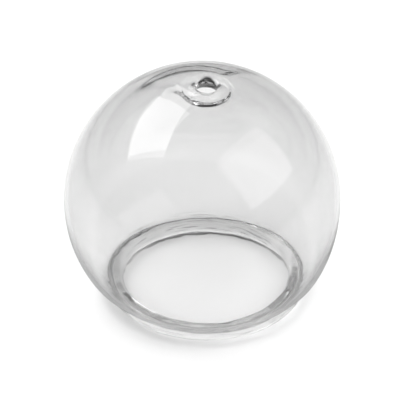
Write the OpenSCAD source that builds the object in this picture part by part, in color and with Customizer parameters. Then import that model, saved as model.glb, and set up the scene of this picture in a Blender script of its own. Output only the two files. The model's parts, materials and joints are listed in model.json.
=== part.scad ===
// Bell jar dome: one blown glass globe, open below, with a pierced hole at its crown.
// The globe stands on z = 0 on its mouth, and its axis is Z.

/* [Globe] */
// Outside diameter of the globe
globe_d = 100; // [80:1:150]
// Thickness of the wall, from the mouth up to where it starts to thicken
wall_side = 1.5; // [1.2:0.1:2.4]
// Thickness of the wall at the crown, where the glass is heaviest
wall_crown = 3.6; // [2.6:0.1:4.6]
// Angle from the crown down, at the globe's centre, where the wall starts to thicken
thick_from = 60; // [45:1:75]

/* [Mouth] */
// Clear diameter of the open mouth, inside its bead
mouth_d = 60; // [46:1:66]
// Thickness of the fire-polished bead that ends the wall at the mouth
rim_bead_d = 5.4; // [4.6:0.1:6.4]
// How far that bead stands out past the outside of the globe
rim_proud = 1.3; // [0.8:0.1:1.8]
// Width of the flat land that the bead stands on
rim_land_w = 1.6; // [0.8:0.1:2.4]
// Radius that blends the bead into the wall, outside and inside
rim_blend_r = 1.2; // [0.8:0.1:3]

/* [Crown hole] */
// Diameter of the hole, at its straight throat
hole_d = 7.2; // [5:0.1:10]
// Length of the straight throat
throat_l = 1.8; // [1:0.1:3]
// How far the melted lip round the hole stands out past the outside of the globe
lip_proud = 1; // [0.6:0.1:1.8]
// How far that lip hangs past the inside of the wall
lip_hang = 0.7; // [0.4:0.1:1.2]
// Radius that blends the lip into the wall, outside and inside
lip_blend_r = 4.5; // [2:0.1:6]

/* [Hidden] */
$fn = 128;
glass_colour = [0.9, 0.9, 0.9, 0.4];

// Where two round faces would only touch, one is let in this far, so that they cross cleanly
bite = 0.004;
// Cuts in the profile run this far, past everything in it
far = 2 * globe_d;

globe_r = globe_d / 2;
rim_r = rim_bead_d / 2;
// The lip is a bead as thick as the crown's wall and what stands past it on both sides
lip_r = (wall_crown + lip_proud + lip_hang) / 2;

// The rim's middle circle: its radius, and its distance from the globe's centre
rim_ring_r = mouth_d / 2 + rim_r;
rim_reach = globe_r + rim_proud - rim_r;
// The rim's middle stands this far above the land
rim_rise = sqrt(rim_r ^ 2 - (rim_land_w / 2) ^ 2);

// The lip's middle circle, set back from the throat by what the straight throat cuts away
lip_ring_r = hole_d / 2 + sqrt(lip_r ^ 2 - (throat_l / 2) ^ 2);
lip_reach = globe_r + lip_proud - lip_r;

// Centres in the profile's plane, as [radius, height]
globe_c = [0, rim_rise + sqrt(rim_reach ^ 2 - rim_ring_r ^ 2)];
rim_c = [rim_ring_r, rim_rise];
lip_c = [lip_ring_r, globe_c[1] + sqrt(lip_reach ^ 2 - lip_ring_r ^ 2)];

// The hollow follows the globe up to where the wall thickens, and a tighter arc runs on from there to the crown.
// The two arcs touch at that height, so the tighter one's centre lies on the line to it.
hollow_r = globe_r - wall_side;
hollow_top = globe_r - wall_crown;
thick_way = [sin(thick_from), cos(thick_from)];
crown_shift = (hollow_r ^ 2 - hollow_top ^ 2) / (2 * (hollow_r - hollow_top * thick_way[1]));
crown_c = globe_c + thick_way * crown_shift;
crown_r = hollow_r - crown_shift + bite;

// Which way along the wall a blend lies from its bead
UP_THE_WALL = 1;
DOWN_THE_WALL = -1;

function unit(v) = v / norm(v);

// The point at distance a from p and b from q, on the given side of the line from p to q
function meet(p, a, q, b, side) =
    let (d = norm(q - p), u = (q - p) / d, along = (d ^ 2 + a ^ 2 - b ^ 2) / (2 * d))
    p + u * along + side * [-u[1], u[0]] * sqrt(a ^ 2 - along ^ 2);

// A disc in the profile's plane
module disc(c, r) {
    translate(c) circle(r);
}

// What one bead needs to run smoothly into one face of the wall.
// The face is a circle of radius face_r about face_c, and facing is 1 for the outside and -1 for the inside.
module blend(bead_c, bead_r, face_c, face_r, facing, blend_r, side) {
    to_face = face_r + facing * (blend_r - bite);
    to_bead = bead_r + blend_r - bite;
    groove = meet(face_c, to_face, bead_c, to_bead, side);
    in_wall = face_c + unit(groove - face_c) * (face_r - facing * wall_side / 2);
    difference() {
        // Corners in counter-clockwise order
        polygon(facing * side < 0 ? [in_wall, groove, bead_c] : [bead_c, groove, in_wall]);
        disc(groove, blend_r);
    }
}

// A bead on the wall's edge, blended into the outside of the globe and into one arc of its hollow
module bead(c, r, inside_c, inside_r, blend_r, side) {
    disc(c, r);
    blend(c, r, globe_c, globe_r, 1, blend_r, side);
    blend(c, r, inside_c, inside_r, -1, blend_r, side);
}

// The hollow inside the wall
module hollow() {
    intersection() {
        disc(globe_c, hollow_r);
        polygon([
            globe_c,
            globe_c - [0, far],
            globe_c + [far, -far],
            globe_c + thick_way * far
        ]);
    }
    disc(crown_c, crown_r);
}

// The wall between the two beads
module wall() {
    intersection() {
        difference() {
            disc(globe_c, globe_r);
            hollow();
        }
        polygon([
            globe_c,
            globe_c + unit(rim_c - globe_c) * far,
            globe_c + [far, 0],
            globe_c + [far, far],
            globe_c + unit(lip_c - globe_c) * far
        ]);
    }
}

// Half of a section through the dome
module dome_profile() {
    difference() {
        union() {
            wall();
            bead(rim_c, rim_r, globe_c, hollow_r, rim_blend_r, UP_THE_WALL);
            bead(lip_c, lip_r, crown_c, crown_r, lip_blend_r, DOWN_THE_WALL);
        }
        // The land that the dome stands on
        translate([0, -far]) square(far);
        // The throat
        square([hole_d / 2, far]);
    }
}

module glass_dome() {
    color(glass_colour) rotate_extrude() dome_profile();
}

glass_dome();
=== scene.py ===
import json
import math

import bmesh
import bpy
from mathutils import Matrix, Vector, noise


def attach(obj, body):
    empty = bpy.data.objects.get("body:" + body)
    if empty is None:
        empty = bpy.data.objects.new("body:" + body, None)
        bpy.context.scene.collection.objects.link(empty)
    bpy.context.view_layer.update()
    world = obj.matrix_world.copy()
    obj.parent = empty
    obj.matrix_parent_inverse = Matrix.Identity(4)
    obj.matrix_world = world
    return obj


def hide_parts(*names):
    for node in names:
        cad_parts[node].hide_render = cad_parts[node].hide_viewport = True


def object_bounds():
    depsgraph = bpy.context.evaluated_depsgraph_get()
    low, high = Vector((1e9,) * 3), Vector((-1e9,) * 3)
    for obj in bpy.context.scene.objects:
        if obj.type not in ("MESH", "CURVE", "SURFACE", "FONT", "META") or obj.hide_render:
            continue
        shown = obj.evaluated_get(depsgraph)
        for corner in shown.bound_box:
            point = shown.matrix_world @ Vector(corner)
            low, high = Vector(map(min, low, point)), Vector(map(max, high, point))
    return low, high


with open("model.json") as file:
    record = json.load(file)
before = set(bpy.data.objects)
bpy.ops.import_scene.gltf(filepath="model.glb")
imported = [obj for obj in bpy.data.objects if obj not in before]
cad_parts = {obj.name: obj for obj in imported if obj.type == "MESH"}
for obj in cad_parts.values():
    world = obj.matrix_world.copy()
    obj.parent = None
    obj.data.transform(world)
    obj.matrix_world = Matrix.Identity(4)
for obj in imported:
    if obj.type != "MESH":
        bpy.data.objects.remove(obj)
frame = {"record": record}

mm = 0.001
noiseMiddle = 0.5   # a noise texture's values lie about this
cadLow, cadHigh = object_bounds()
print("frame loaded, object box", tuple(cadLow), tuple(cadHigh))


class Wire:
    # an output of a node: sums of wires and numbers add their own Math nodes
    def __init__(self, node, name=0):
        self.node = node
        self.socket = node.outputs[name] if node.outputs else None

    @classmethod
    def add(cls, tree, kind, settings=None, sockets=None):
        node = tree.nodes.new(kind)
        for name, value in (settings or {}).items():
            setattr(node, name, value)
        for name, value in (sockets or {}).items():
            if isinstance(value, Wire):
                tree.links.new(value.socket, node.inputs[name])
            else:
                node.inputs[name].default_value = value
        return cls(node)

    def out(self, name):
        return Wire(self.node, name)

    def maths(self, operation, *values):
        tree = self.node.id_data
        return Wire.add(tree, "ShaderNodeMath", {"operation": operation}, dict(enumerate(values)))

    def clamped(self):   # kept between 0 and 1
        return Wire.add(self.node.id_data, "ShaderNodeClamp", {}, {0: self})

    def __add__(self, other):
        return self.maths("ADD", self, other)

    __radd__ = __add__

    def __sub__(self, other):
        return self.maths("SUBTRACT", self, other)

    def __rsub__(self, other):
        return self.maths("SUBTRACT", other, self)

    def __mul__(self, other):
        return self.maths("MULTIPLY", self, other)

    __rmul__ = __mul__

    def __truediv__(self, other):
        return self.maths("DIVIDE", self, other)

    def __pow__(self, other):
        return self.maths("POWER", self, other)

    def __or__(self, other):   # the larger of the two
        return self.maths("MAXIMUM", self, other)

    def __abs__(self):
        return self.maths("ABSOLUTE", self)


def emptyTree(owner):   # the nodes of a material, a world or a lamp, with none in them yet
    owner.use_nodes = True
    owner.node_tree.nodes.clear()
    return owner.node_tree


def smoothStep(tree, value, edges):   # 0 below the first edge, 1 above the second
    return Wire.add(tree, "ShaderNodeMapRange", {"interpolation_type": "SMOOTHSTEP"}, {
        "Value": value, "From Min": edges[0], "From Max": edges[1]})


def vectorMaths(tree, operation, *vectors):
    return Wire.add(tree, "ShaderNodeVectorMath", {"operation": operation}, dict(enumerate(vectors)))


def addObject(name, data):
    made = bpy.data.objects.new(name, data)
    bpy.context.scene.collection.objects.link(made)
    return made


def addMesh(name, bm):
    mesh = bpy.data.meshes.new(name)
    bm.to_mesh(mesh)
    bm.free()
    return addObject(name, mesh)


# the dome, in metres: the globe and the hole come from the frame
crownHole = next(m for m in frame["record"]["mounts"] if m["name"] == "crown_hole")
dome = {
    "globeR": (cadHigh.x - cadLow.x) / 2,
    "wallSide": 1.5 * mm,
    "wallCrown": 3.6 * mm,
    "thickFrom": math.radians(60),   # from the crown down, where the wall starts to thicken
    "mouthR": 30 * mm,
    "rimR": 2.7 * mm,                # half the thickness of the bead at the mouth
    "rimProud": 1.3 * mm,
    "rimLand": 1.6 * mm,
    "rimBlendR": 1.2 * mm,           # outside
    "rimInR": 2.2 * mm,              # and inside
    "holeR": crownHole["dims"]["r_mm"] * mm,
    "throat": crownHole["dims"]["length_mm"] * mm,
    "lipR": 2.65 * mm,               # half the thickness of the lip round the hole
    "lipProud": 1.0 * mm,
    "lipBlendR": 4.5 * mm,
    # steps of the mesh
    "turns": 320,                    # round the axis
    "wallStep": 1.5 * mm,            # along the wall
    "crownStep": 0.4 * mm,           # along the outside, close to the crown
    "crownFrom": math.radians(24),   # from the crown down, where that starts
    "beadStep": 0.3 * mm,            # along the beads and blends
    "weld": 0.01 * mm,               # points closer than this are one
    # blown by hand
    "crownOff": Vector((1.6, -2.2, 0)) * mm,   # how far the crown stands off the globe's axis
    "mouthOff": Vector((1.6, 0, 0)) * mm,      # and how far the mouth does
    "mouthOval": 0.04,                         # how much wider it is from side to side
    "rimTall": (0.8, 0.56, 0),                 # how much taller the rim is at its sides, front and back
    "rimReach": 14 * mm,                       # how far up the wall that fades out
    # melted in the flame
    "waves": ((8 * mm, 0.35 * mm), (3.4 * mm, 0.10 * mm)),   # their lengths and heights
    "waveReach": 9 * mm,                       # how far from the two edges they fade out
    "seed": 1,                                 # of the waves
    "ringLength": 1.3 * mm,                    # from ring to ring, in the waves
    "ringHeight": 0.15 * mm,
    "ringTilt": 1.3,                           # how much they follow the height
    "ringChanges": 3,                          # how quickly they change round the axis
    "lipWaves": 0.12,                          # how much of all this the lip has
    "lipLow": 0.85,                            # how much lower the lip is at its two sides
    "lipMerge": 3,                             # how sharply it joins the glass run out from it
}

# the glass that has run out from the lip, to the left
swell = {
    "middle": Vector((-6, 4)) * mm,
    "r": 13 * mm,
    "height": 0.6 * mm,
    "edge": 3.5 * mm,                     # half the width of its slope
    "rear": (-3 * mm, 5 * mm),            # where it runs out behind its middle
    "cutAt": Vector((-5.1, -8.3)) * mm,   # in front it ends along a line from here
    "cutWay": Vector((-0.717, 0.697)),    # in this direction
    "cutEdge": (0.45 * mm, 3.5 * mm),     # half its slope there, crisp at the lip and soft further off
    "cutTurn": (6 * mm, 12 * mm),         # where along the line it goes from one to the other
    "off": (5 * mm, 7 * mm),              # how far it stays off the hole
}

# a ridge of heavier glass on the inside, in an arc behind the hole
ridge = {
    "middle": Vector((-4, -4)) * mm,
    "rise": (14.5 * mm, 22 * mm),     # its two slopes, out from the arc's middle
    "fall": (22 * mm, 27 * mm),
    "height": 0.75 * mm,
    "ends": ((46, 60), (120, 165)),   # where it starts and runs out, in degrees round from the right
}


def meet(p, a, q, b, side):   # the point at distance a from p and b from q
    d = (q - p).length
    u = (q - p) / d
    along = (d * d + a * a - b * b) / (2 * d)
    return p + u * along + side * Vector((-u.y, u.x)) * math.sqrt(a * a - along * along)


def towards(centre, r, point):   # the point on a circle nearest to another
    return centre + (point - centre).normalized() * r


def arcTo(bm, start, centre, end, step, turn):   # turn is 1 for anticlockwise, -1 for clockwise
    fromAngle = math.atan2(start.co.z - centre.y, start.co.x - centre.x)
    toAngle = math.atan2(end.y - centre.y, end.x - centre.x)
    angle = ((toAngle - fromAngle) * turn) % math.tau
    steps = max(2, round(angle * (end - centre).length / step))
    made = bmesh.ops.spin(bm, geom=[start], cent=(centre.x, 0, centre.y), axis=(0, -turn, 0),
                          angle=angle, steps=steps)
    return made["geom_last"][0]


def lineTo(bm, start, end):
    made = bmesh.ops.extrude_vert_indiv(bm, verts=[start])
    made["verts"][0].co = (end.x, 0, end.y)
    return made["verts"][0]


def domeSection(bm):   # half a section, as a ring of edges; it gives the height of the globe's middle
    d = dome
    rise = math.sqrt(d["rimR"] ** 2 - (d["rimLand"] / 2) ** 2)
    rimRing = d["mouthR"] + d["rimR"]
    rimReach = d["globeR"] + d["rimProud"] - d["rimR"]
    globe = Vector((0, rise + math.sqrt(rimReach ** 2 - rimRing ** 2)))
    rim = Vector((rimRing, rise))
    lipRing = d["holeR"] + math.sqrt(d["lipR"] ** 2 - (d["throat"] / 2) ** 2)
    lipReach = d["globeR"] + d["lipProud"] - d["lipR"]
    lip = Vector((lipRing, globe.y + math.sqrt(lipReach ** 2 - lipRing ** 2)))

    # the hollow: a low arc about the globe's middle, and a tighter one under the crown
    hollowR = d["globeR"] - d["wallSide"]
    top = d["globeR"] - d["wallCrown"]
    side = Vector((math.sin(d["thickFrom"]), math.cos(d["thickFrom"])))
    shift = (hollowR ** 2 - top ** 2) / (2 * (hollowR - top * side.y))
    crownR = hollowR - shift
    crown = globe + side * shift

    # centres of the four blends between the beads and the wall
    rimOut = meet(globe, d["globeR"] + d["rimBlendR"], rim, d["rimR"] + d["rimBlendR"], 1)
    rimIn = meet(globe, hollowR - d["rimInR"], rim, d["rimR"] + d["rimInR"], 1)
    lipOut = meet(globe, d["globeR"] + d["lipBlendR"], lip, d["lipR"] + d["lipBlendR"], -1)
    lipIn = meet(crown, crownR - d["lipBlendR"], lip, d["lipR"] + d["lipBlendR"], -1)

    wall, bead = d["wallStep"], d["beadStep"]
    halfLand = Vector((d["rimLand"] / 2, 0))
    halfThroat = Vector((0, d["throat"] / 2))
    landMid = Vector((rimRing, 0))
    landIn = landMid - halfLand
    throatMid = Vector((d["holeR"], lip.y))
    crownWay = Vector((math.sin(d["crownFrom"]), math.cos(d["crownFrom"])))

    # from the land up the outside, down the throat and back along the inside
    first = bm.verts.new((landIn.x, 0, landIn.y))
    at = lineTo(bm, first, landMid)
    at = lineTo(bm, at, landMid + halfLand)
    at = arcTo(bm, at, rim, towards(rim, d["rimR"], rimOut), bead, 1)
    at = arcTo(bm, at, rimOut, towards(globe, d["globeR"], rimOut), bead, -1)
    at = arcTo(bm, at, globe, globe + crownWay * d["globeR"], wall, 1)
    at = arcTo(bm, at, globe, towards(globe, d["globeR"], lipOut), d["crownStep"], 1)
    at = arcTo(bm, at, lipOut, towards(lip, d["lipR"], lipOut), bead, -1)
    at = arcTo(bm, at, lip, throatMid + halfThroat, bead, 1)
    at = lineTo(bm, at, throatMid)
    at = lineTo(bm, at, throatMid - halfThroat)
    at = arcTo(bm, at, lip, towards(lip, d["lipR"], lipIn), bead, 1)
    at = arcTo(bm, at, lipIn, towards(crown, crownR, lipIn), bead, -1)
    at = arcTo(bm, at, crown, globe + side * hollowR, wall, -1)
    at = arcTo(bm, at, globe, towards(globe, hollowR, rimIn), wall, -1)
    at = arcTo(bm, at, rimIn, towards(rim, d["rimR"], rimIn), bead, -1)
    arcTo(bm, at, rim, landIn, bead, 1)
    bmesh.ops.remove_doubles(bm, verts=bm.verts, dist=d["weld"])
    return globe.y


def eased(value, edges):   # 0 below the first edge, 1 above the second
    part = min(1, max(0, (value - edges[0]) / (edges[1] - edges[0])))
    return part * part * (3 - 2 * part)


def waves(at, away):   # how far the flame has moved a point that is so far from its edge
    fade = max(0, 1 - away / dome["waveReach"]) ** 0.5
    shift = Vector()
    if fade > 0:
        for length, height in dome["waves"]:
            shift += noise.noise_vector(at / length) * height * fade
        outward = at.xy.normalized()
        way = outward * dome["ringChanges"]
        across = at.xy.length + dome["ringTilt"] * at.z
        ring = noise.noise((way.x, way.y, across / dome["ringLength"]))
        shift += (outward * dome["ringHeight"] * fade * ring).to_3d()
    return shift


def meltedRim(at):
    shift = waves(at, at.z)
    shift.z *= min(1, at.z / dome["rimR"])   # the land stays flat
    return shift


def swelling(at):   # how high the run-out glass stands on the globe
    off = at - swell["middle"]
    cut = at - swell["cutAt"]
    crisp, soft = swell["cutEdge"]
    edge = crisp + (soft - crisp) * eased(cut.dot(swell["cutWay"]), swell["cutTurn"])
    inside = 1 - eased(off.length, (swell["r"] - swell["edge"], swell["r"] + swell["edge"]))
    inside *= 1 - eased(off.y, swell["rear"])
    inside *= 1 - eased(cut.dot(swell["cutWay"].orthogonal()), (-edge, edge))
    return swell["height"] * inside * eased(at.length, swell["off"])


def ridging(at):   # how far the ridge stands in from the inside
    off = at - ridge["middle"]
    angle = math.degrees(math.atan2(off.y, off.x))
    start, end = ridge["ends"]
    arc = eased(angle, start) * (1 - eased(angle, end))
    return ridge["height"] * arc * eased(off.length, ridge["rise"]) * (1 - eased(off.length, ridge["fall"]))


def meltedLip(at, middle):
    out = at - middle
    proud = out.length - dome["globeR"]
    skin = min(1, max(0, proud / dome["lipProud"] + 1))   # 1 on the outside, 0 on the inside
    was = max(0, proud)
    hangs = max(0, -proud - dome["wallCrown"])
    sides = dome["lipLow"] * (at.x / at.xy.length) ** 2
    merge = dome["lipMerge"]
    now = ((was * (1 - sides)) ** merge + swelling(at.xy) ** merge) ** (1 / merge)
    rise = (now - was) * skin + hangs * sides - ridging(at.xy) * (1 - skin)
    return waves(at, at.xy.length - dome["holeR"]) * dome["lipWaves"] + out.normalized() * rise


def blownCrown(at, middle):   # where the blowing left a point of the upper half
    up = (at.z - middle.z) / dome["globeR"]
    lean = Vector((0, 0, 1)).cross(dome["crownOff"]) / dome["globeR"]   # a small turn about the middle
    at = at + meltedLip(at, middle)
    return at + lean.cross(at - middle) * min(1, up * up)


def blownMouth(at, middle):   # and one of the lower half
    at = at + meltedRim(at)
    low = (1 - at.z / middle.z) ** 2
    turn = at.y / at.xy.length   # 1 at the back, -1 in front
    sides, front, back = dome["rimTall"]
    taller = sides + (back - front) / 2 * turn + ((back + front) / 2 - sides) * turn * turn
    fade = max(0, 1 - at.z / dome["rimReach"]) ** 2
    at.z += at.z * fade * taller
    at.x *= 1 + dome["mouthOval"] * low
    return at + dome["mouthOff"] * low


def makeDome():
    bm = bmesh.new()
    middle = Vector((0, 0, domeSection(bm)))
    section = bm.verts[:] + bm.edges[:]
    bmesh.ops.spin(bm, geom=section, cent=(0, 0, 0), axis=(0, 0, 1), angle=math.tau,
                   steps=dome["turns"], use_merge=True)
    bmesh.ops.remove_doubles(bm, verts=bm.verts, dist=dome["weld"])
    bmesh.ops.recalc_face_normals(bm, faces=bm.faces)
    noise.seed_set(dome["seed"])
    for vert in bm.verts:
        blown = blownCrown if vert.co.z > middle.z else blownMouth
        vert.co = blown(vert.co, middle)
    for face in bm.faces:
        face.smooth = True
    piece = addMesh("glass_dome_blown", bm)
    print("dome spun,", len(piece.data.polygons), "faces")
    return piece, middle


# the glass: clear and a little smoky, with smears left by wiping
glass = {
    "tint": (0.925, 0.80),           # thin glass at the mouth, and heavy glass at the crown
    "tintRise": (0, 70 * mm),
    "brightFoot": (1 * mm, 3 * mm),   # painted light: the tint is left off the rim's foot up to here, so it shows brighter
    "tintVaries": 0.02,
    "smearSize": 60,                 # smears to a metre
    "smearDetail": 1.0,
    "smearTwist": 0.6,
    "smearLevels": (0.58, 0.75),
    "roughness": (0.0, 0.02),        # clean, and how much more where it is smeared
    "ior": 1.5,
    "cords": 0.5,                    # how dark the cords of other glass in the rim are
    "cordLength": 0.55 * mm,         # from cord to cord
    "cordRuns": 3.0,                 # how quickly they change round the rim
    "cordDetail": 1.0,
    "cordLevels": (0.52, 0.68),
    "cordEdge": (4.5 * mm, 6.5 * mm),
}


def clearGlass():
    mat = bpy.data.materials.new("clear_glass")
    tree = emptyTree(mat)
    place = Wire.add(tree, "ShaderNodeTexCoord").out("Object")
    smears = Wire.add(tree, "ShaderNodeTexNoise", {}, {
        "Vector": place, "Scale": glass["smearSize"],
        "Detail": glass["smearDetail"], "Distortion": glass["smearTwist"]})
    part = Wire.add(tree, "ShaderNodeSeparateXYZ", {}, {0: place})
    x, y, z = part.out("X"), part.out("Y"), part.out("Z")
    out = (x * x + y * y) ** 0.5
    runs, step = glass["cordRuns"], glass["cordLength"]
    around = Wire.add(tree, "ShaderNodeCombineXYZ", {}, {
        "X": x / out * runs, "Y": y / out * runs, "Z": out / step})
    cords = Wire.add(tree, "ShaderNodeTexNoise", {"noise_dimensions": "4D"}, {
        "Vector": around, "W": z / step, "Scale": 1.0, "Detail": glass["cordDetail"]})
    # painted light: below this the glass is untinted, so the rim's foot shows brighter
    aboveFoot = smoothStep(tree, z, glass["brightFoot"])
    low = aboveFoot * (1 - smoothStep(tree, z, glass["cordEdge"]))
    cords = glass["cords"] * low * smoothStep(tree, cords, glass["cordLevels"])
    high = smoothStep(tree, z, glass["tintRise"])
    thin, heavy = glass["tint"]
    tint = 1 - (1 - thin + (thin - heavy) * high) * aboveFoot
    clean, smeared = glass["roughness"]
    body = Wire.add(tree, "ShaderNodeBsdfPrincipled", {}, {
        "Base Color": (tint - glass["tintVaries"] * (smears - noiseMiddle)) * (1 - cords),
        "Roughness": clean + smeared * smoothStep(tree, smears, glass["smearLevels"]),
        "IOR": glass["ior"],
        "Transmission Weight": 1.0,
    })
    Wire.add(tree, "ShaderNodeOutputMaterial", {}, {"Surface": body})
    print("glass mixed")
    return mat


# the table that it stands on
table = {
    "size": 3.0,
    "end": 0.5,                       # how far behind the dome it ends
    "gap": 0.05 * mm,                 # a hair of air under the rim
    "albedo": 0.85,
    # painted shade: the table's colour as the glass mirrors it, darker near the rim, under the dome and far
    # off
    "mirrored": (0.84, 0.33),         # how bright it is near by, and far off
    "farEdge": (0.12, 0.9),
    "shade": (0.15, 0.22),            # how much darker close to the rim, all round and more at the sides
    "shadeEdge": (50 * mm, 90 * mm),  # how far out from the axis that reaches
    "shadeSides": (0.6, 0.9),
    "under": 0.8,                     # how much darker it is under the dome
    "underEdge": (12 * mm, 24 * mm),
    "underFar": (50 * mm, 70 * mm),   # only where the mirror is as far off as the crown
    # the rim's own shadow
    "foot": (0.16, 0.06),             # all round, and more to the left
    "footEdge": (29 * mm, 32 * mm, 34.8 * mm, 38.8 * mm),
    # a painted contact shadow: a dark, wavy line on the table along the rim's inner edge
    "contactShadow": 0.7,
    "contactShadowAt": 31.0 * mm,
    "tableMouthOval": 1.06,
    "contactShadowWide": (0.3 * mm, 1.2 * mm),
    "contactShadowStray": 2.4 * mm,
    "contactShadowWaves": 190.0,               # how many waves it has to a metre
    "contactShadowDetail": 2.0,
    "contactShadowSides": (0.5, 0.85),         # where it thins out towards the sides
    "contactShadowThin": 0.3,
}


def whiteTable():
    mat = bpy.data.materials.new("white_table")
    tree = emptyTree(mat)
    place = Wire.add(tree, "ShaderNodeTexCoord").out("Object")
    out = vectorMaths(tree, "LENGTH", place).out("Value")
    x = Wire.add(tree, "ShaderNodeSeparateXYZ", {}, {0: place}).out("X")
    sideways = abs(x / out)
    mouth = vectorMaths(tree, "SUBTRACT", place, dome["mouthOff"])
    mouth = vectorMaths(tree, "DIVIDE", mouth, (table["tableMouthOval"], 1, 1))
    mouth = vectorMaths(tree, "LENGTH", mouth).out("Value")   # out from the mouth's middle
    path = Wire.add(tree, "ShaderNodeLightPath")

    # painted shade: how much darker the glass mirrors it
    close, far = table["mirrored"]
    allRound, sides = table["shade"]
    away = smoothStep(tree, out, table["farEdge"])
    near = 1 - smoothStep(tree, out, table["shadeEdge"])
    beside = smoothStep(tree, sideways, table["shadeSides"])
    under = 1 - smoothStep(tree, mouth, table["underEdge"])
    under = under * smoothStep(tree, path.out("Ray Length"), table["underFar"])
    dim = 1 - close + (close - far) * away
    dim = dim + (allRound + sides * beside) * near + table["under"] * under * close
    mirrored = path.out("Glossy Depth").clamped()

    # the painted contact shadow along the rim's inner edge
    stray = Wire.add(tree, "ShaderNodeTexNoise", {}, {
        "Vector": place, "Scale": table["contactShadowWaves"], "Detail": table["contactShadowDetail"]})
    off = abs(mouth - table["contactShadowAt"] - table["contactShadowStray"] * (stray - noiseMiddle))
    contactShadowSidesFade = 1 - table["contactShadowThin"] * smoothStep(tree, sideways, table["contactShadowSides"])
    contactShadow = table["contactShadow"] * contactShadowSidesFade * (1 - smoothStep(tree, off, table["contactShadowWide"]))

    # the rim's shadow
    allRound, left = table["foot"]
    foot = (allRound - left * x / out) * smoothStep(tree, mouth, table["footEdge"][:2])
    foot = foot * (1 - smoothStep(tree, mouth, table["footEdge"][2:]))

    # the table's colour carries painted shade: darker as the glass mirrors it, the painted contact shadow
    # and the rim's painted shadow
    grey = table["albedo"] * (1 - dim * mirrored) * (1 - contactShadow) * (1 - foot)
    paint = Wire.add(tree, "ShaderNodeBsdfDiffuse", {}, {"Color": grey})
    Wire.add(tree, "ShaderNodeOutputMaterial", {}, {"Surface": paint})
    return mat


def makeTable():
    bm = bmesh.new()
    bmesh.ops.create_grid(bm, x_segments=1, y_segments=1, size=table["size"] / 2)
    bmesh.ops.translate(bm, verts=bm.verts, vec=(0, table["end"] - table["size"] / 2, -table["gap"]))
    top = addMesh("table", bm)
    top.data.materials.append(whiteTable())
    print("table laid")


# the room: white to the lens, bright to the table,
# and as the glass mirrors it grey, with dark places at the back
room = {
    "seen": 1.0,
    "onTable": (0.33, 1.09),   # what lights the table, from the walls' feet and from above
    "onTableRise": (0.05, 0.55),
    "fore": 0.05,              # how much more of it comes from the front
    "around": (0.32, 0.55),    # what the glass mirrors, from the walls' feet and from above
    "aroundRise": (0.1, 0.8),
    "poleGap": 0.0001,         # keeps the floor plan's directions in bounds straight up
}

# places in it: which way they lie on the floor plan and how wide they are,
# how high they start and end, as sines, and how bright they are
places = {
    "backdrop": {
        "way": (0, 1), "edge": (0.2, 0.6), "foot": (-0.6, -0.5), "top": (0.1, 0.16), "level": 0.62},
    "shelf": {
        "way": (-0.17, 0.985), "edge": (0.5, 0.75), "foot": (0.12, 0.2), "top": (0.42, 0.5), "level": 0.15},
    "doorway": {
        "way": (-0.03, 1), "edge": (0.965, 0.985), "foot": (-0.6, -0.5), "top": (0.12, 0.18), "level": 0.0},
    "gap": {
        "way": (0, 1), "edge": (0.7, 0.85), "foot": (0.45, 0.5), "top": (0.84, 0.92), "level": 0.02},
}


def makeWorld():
    world = bpy.data.worlds.new("studio")
    bpy.context.scene.world = world
    tree = emptyTree(world)

    def rise(value, edges):
        return smoothStep(tree, value, edges)

    def ramp(value, levels, edges):
        return levels[0] + (levels[1] - levels[0]) * rise(value, edges)

    way = Wire.add(tree, "ShaderNodeTexCoord").out("Generated")
    part = Wire.add(tree, "ShaderNodeSeparateXYZ", {}, {0: way})
    x, y, up = part.out("X"), part.out("Y"), part.out("Z")
    flat = (1 + room["poleGap"] - up * up) ** 0.5
    around = ramp(up, room["around"], room["aroundRise"])
    for place in places.values():
        facing = (x * place["way"][0] + y * place["way"][1]) / flat
        here = rise(facing, place["edge"]) * rise(up, place["foot"]) * (1 - rise(up, place["top"]))
        around = around * (1 - here) + place["level"] * here
    onTable = ramp(up, room["onTable"], room["onTableRise"]) * (1 - room["fore"] * y)

    path = Wire.add(tree, "ShaderNodeLightPath")
    mirrored = path.out("Glossy Depth").clamped()
    seen = (path.out("Is Camera Ray") | path.out("Is Transmission Ray")) * (1 - mirrored)
    bounced = path.out("Diffuse Depth").clamped()
    direct = seen * room["seen"] + (1 - seen) * around
    sky = Wire.add(tree, "ShaderNodeBackground", {}, {
        "Color": (1, 1, 1, 1), "Strength": bounced * onTable + (1 - bounced) * direct})
    world.cycles.sampling_method = "NONE"
    Wire.add(tree, "ShaderNodeOutputWorld", {}, {"Surface": sky})
    print("room set up,", len(places), "places in it")


# lamps: where they hang, how they are turned, their size,
# how bright their cloth is, and how much of it is dimmer at each edge
lamps = {
    "softbox_left": {
        "at": (-0.233, 0.23, 0.56), "turn": (67, 13, -113),
        "size": (0.69, 0.37), "level": 2.15, "soft": 0.04},
    "softbox_right": {
        "at": (0.43, -0.10, 0.45), "turn": (50, -6, 53),
        "size": (0.68, 0.52), "level": 0.8, "soft": 0.08},
}
clothWatts = 4   # what a square metre of cloth takes at level 1


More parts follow.
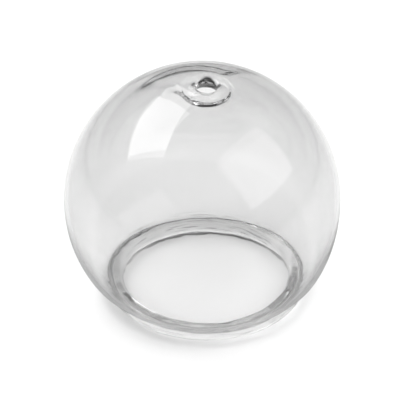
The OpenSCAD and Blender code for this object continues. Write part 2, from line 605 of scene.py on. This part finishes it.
def makeLamp(name):
    box = lamps[name]
    lamp = bpy.data.lights.new(name, "AREA")
    lamp.shape = "RECTANGLE"
    wide, deep = box["size"]
    lamp.size, lamp.size_y = wide, deep
    lamp.energy = clothWatts * box["level"] * wide * deep
    tree = emptyTree(lamp)
    across = Wire.add(tree, "ShaderNodeNewGeometry").out("Parametric")
    across = Wire.add(tree, "ShaderNodeSeparateXYZ", {}, {0: across})
    edge = (0, box["soft"])
    strength = 1.0
    for side in "XY":
        place = across.out(side)
        strength = strength * smoothStep(tree, place, edge) * smoothStep(tree, 1 - place, edge)
    cloth = Wire.add(tree, "ShaderNodeEmission", {}, {"Strength": strength})
    Wire.add(tree, "ShaderNodeOutputLight", {}, {"Surface": cloth})
    holder = addObject(name, lamp)
    holder.location = box["at"]
    holder.rotation_euler = [math.radians(angle) for angle in box["turn"]]
    holder.visible_camera = False
    print("lamp hung:", name)


# the camera, set by where the globe lies in the picture
photo = {
    "side": 400,              # the picture's frame, in pixels
    "globe": (202.2, 198.8),  # where the globe's middle lies in it
    "globeR": 138.4,
    "elevation": math.radians(35.6),
    "far": 0.8,               # from the lens to the globe's middle
    "sensor": 36,             # in millimetres, as the lens is
    "clip": 0.01,             # nothing nearer to the lens is drawn
}


def makeCamera(globe):
    up = photo["elevation"]
    right = Vector((1, 0, 0))
    back = Vector((0, -math.cos(up), math.sin(up)))
    above = back.cross(right)
    pixel = dome["globeR"] / photo["globeR"]
    half = photo["side"] / 2
    aim = globe - right * (photo["globe"][0] - half) * pixel + above * (photo["globe"][1] - half) * pixel
    seen = math.asin(dome["globeR"] / photo["far"])   # the globe's outline, as an angle
    camera = bpy.data.cameras.new("camera")
    camera.sensor_width = photo["sensor"]
    camera.lens = photo["sensor"] * photo["globeR"] / photo["side"] / math.tan(seen)
    camera.clip_start = photo["clip"]
    holder = addObject("camera", camera)
    turn = back.to_track_quat("Z", "Y").to_matrix().to_4x4()
    holder.matrix_world = Matrix.Translation(aim + back * photo["far"]) @ turn
    bpy.context.scene.camera = holder
    print("camera lens", camera.lens)


piece, globeMiddle = makeDome()
piece.data.materials.append(clearGlass())
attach(piece, "root")
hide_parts("glass_dome")
makeTable()
makeWorld()
for name in lamps:
    makeLamp(name)
makeCamera(globeMiddle)

# light goes through many faces of glass
bounces = {
    "max_bounces": 32,
    "transmission_bounces": 32,
    "transparent_max_bounces": 32,
    "glossy_bounces": 16,
}
scene = bpy.context.scene
for kind, most in bounces.items():
    setattr(scene.cycles, kind, most)
scene.cycles.blur_glossy = 0
scene.cycles.use_denoising = True
scene.view_settings.view_transform = "Standard"
